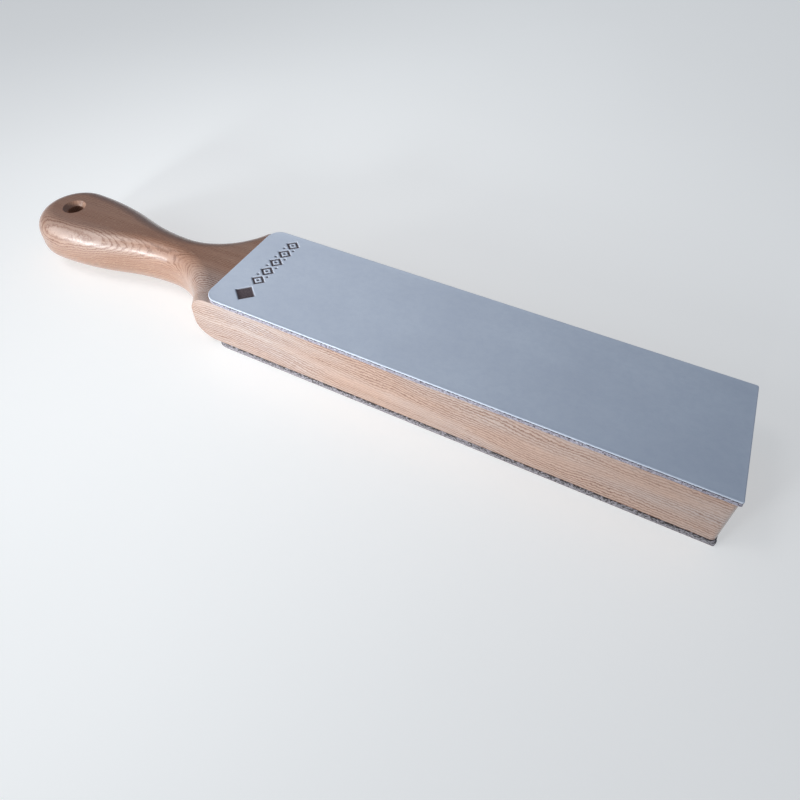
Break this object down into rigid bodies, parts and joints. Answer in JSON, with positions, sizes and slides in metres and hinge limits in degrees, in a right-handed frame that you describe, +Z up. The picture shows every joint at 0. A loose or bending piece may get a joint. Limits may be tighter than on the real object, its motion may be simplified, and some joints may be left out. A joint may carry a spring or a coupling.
{
  "type": "leather strop",
  "caption": "Double-sided paddle strop: a one-piece beech blade and handle with a hang hole, and a leather glued to each face for honing edge tools.",
  "frame": {"origin": "centre of the strop's length and width, on the plane it rests on", "axes": "+X from the handle's tip to the blade's free end, +Y across the width, +Z up out of the smooth leather"},
  "size_m": [0.378, 0.06, 0.0323],
  "materials": {
    "beech": "steamed beech, fine sanded, bare or thinly oiled",
    "smooth_leather": "vegetable-tanned, grain side out, burnished, blue grey, satin",
    "rough_leather": "flesh side out, short nap, matt",
    "contact_adhesive": "dried contact adhesive, translucent amber"
  },
  "bodies": {
    "root": {"paddle": "beech", "smooth_leather": "smooth_leather", "rough_leather": "rough_leather", "upper_glue_film": "contact_adhesive", "lower_glue_film": "contact_adhesive"}
  },
  "joints": []
}
